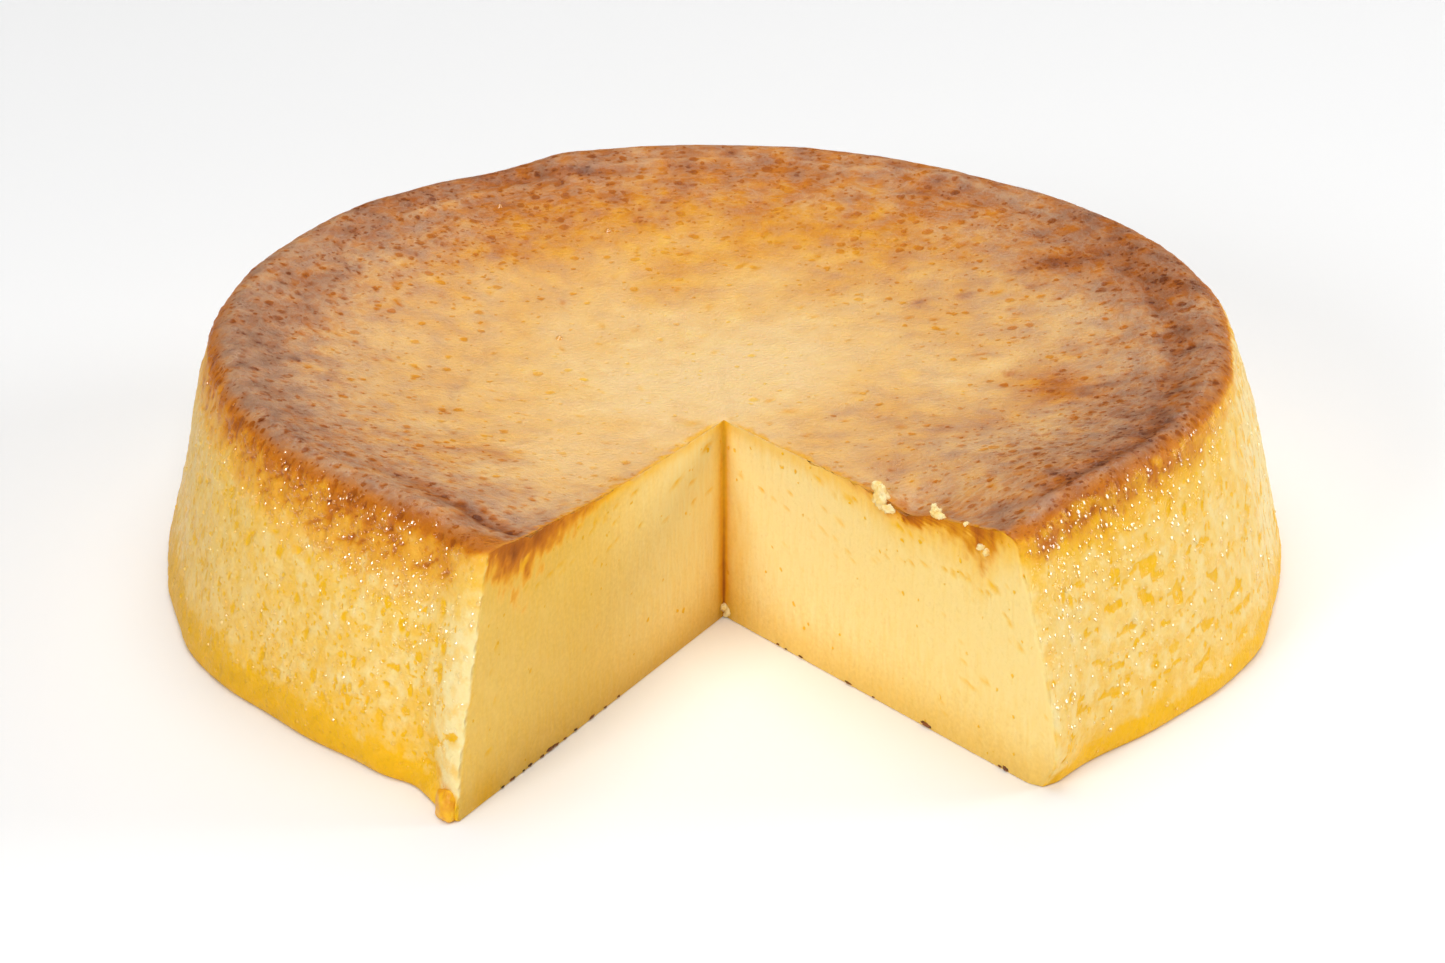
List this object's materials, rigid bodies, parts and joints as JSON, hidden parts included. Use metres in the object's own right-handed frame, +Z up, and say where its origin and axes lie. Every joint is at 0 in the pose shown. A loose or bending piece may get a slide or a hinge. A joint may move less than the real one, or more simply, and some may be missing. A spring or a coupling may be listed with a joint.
{
  "type": "leche flan",
  "caption": "Round baked custard with a browned, sunken top inside a raised rim, sides that lean in towards the top, and a wedge cut out of the front.",
  "frame": {"origin": "centre of the round base, on the surface that the flan stands on; the point lies behind the tip of the cut, on custard", "axes": "+Z up out of the top; -Y towards the side that the cut wedge opens to; +X to the right when the opening is faced"},
  "size_m": [0.2275, 0.2241, 0.053],
  "materials": {
    "custard": "moist baked custard with a glossy browned skin on top"
  },
  "bodies": {
    "root": {"flan": "custard"}
  },
  "joints": []
}
